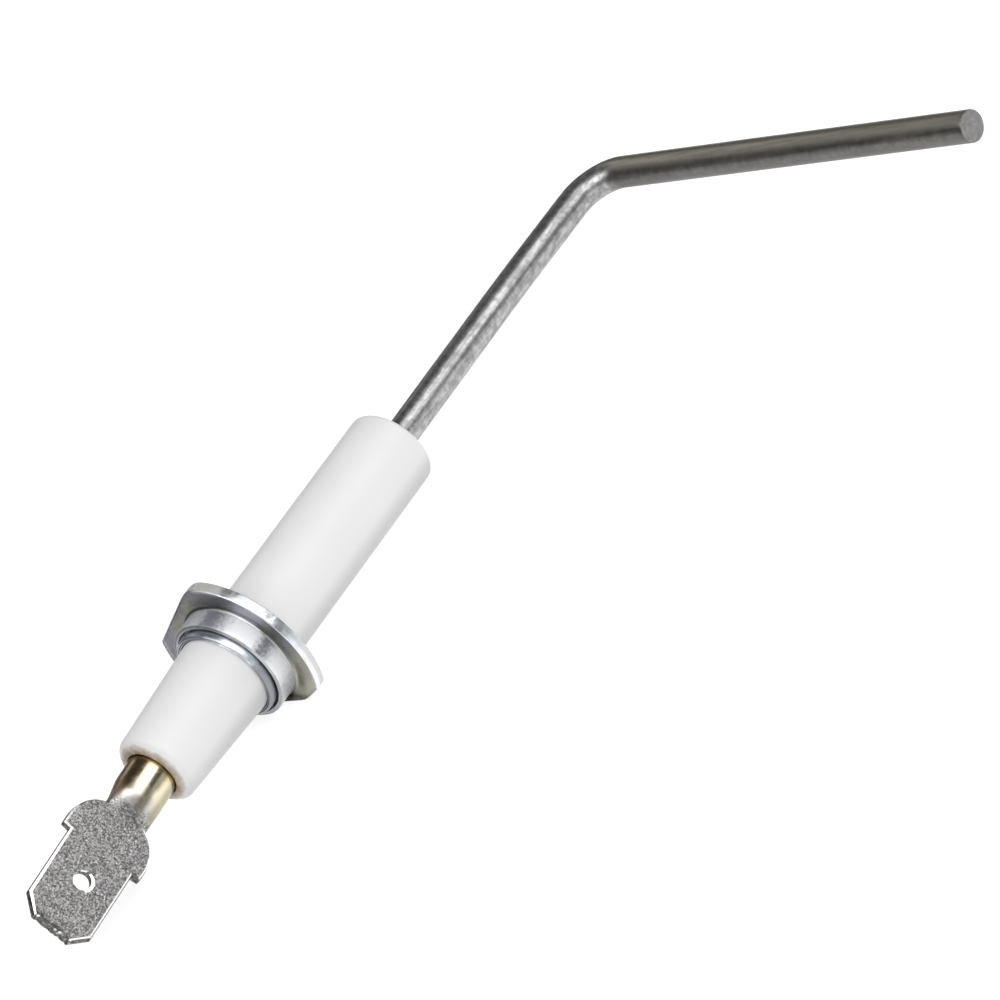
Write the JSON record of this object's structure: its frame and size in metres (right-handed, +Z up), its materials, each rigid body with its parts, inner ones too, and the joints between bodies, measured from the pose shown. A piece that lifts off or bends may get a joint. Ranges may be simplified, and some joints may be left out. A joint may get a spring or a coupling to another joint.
{
  "type": "ignition electrode",
  "caption": "Spark rod with a right-angle bend, cemented in a white ceramic insulator that carries a pressed mounting flange, and a flat blade terminal on its other end.",
  "frame": {"origin": "centre of the mounting flange's hole, in the plane of the face that seats on the burner", "axes": "+X along the insulator towards the spark end, -Y towards the free end of the bent rod, +Z up out of the plane of the bend"},
  "size_m": [0.09, 0.0532, 0.0128],
  "materials": {
    "white_ceramic": "satin",
    "refractory_cement": "matte",
    "zinc_plated_steel": "bright zinc plating, slightly dented",
    "zinc_plated_ring": "bright zinc plating",
    "graphite_gasket": "matte graphite",
    "heat_resistant_steel": "dull drawn wire",
    "nickel_plated_brass": "bright plating on the neck, blasted on the tab"
  },
  "bodies": {
    "root": {"insulator": "white_ceramic", "front_cement": "refractory_cement", "back_cement": "refractory_cement", "mounting_flange": "zinc_plated_steel", "retaining_ring": "zinc_plated_ring", "sealing_washer": "graphite_gasket", "spark_rod": "heat_resistant_steel", "terminal": "nickel_plated_brass"}
  },
  "joints": []
}
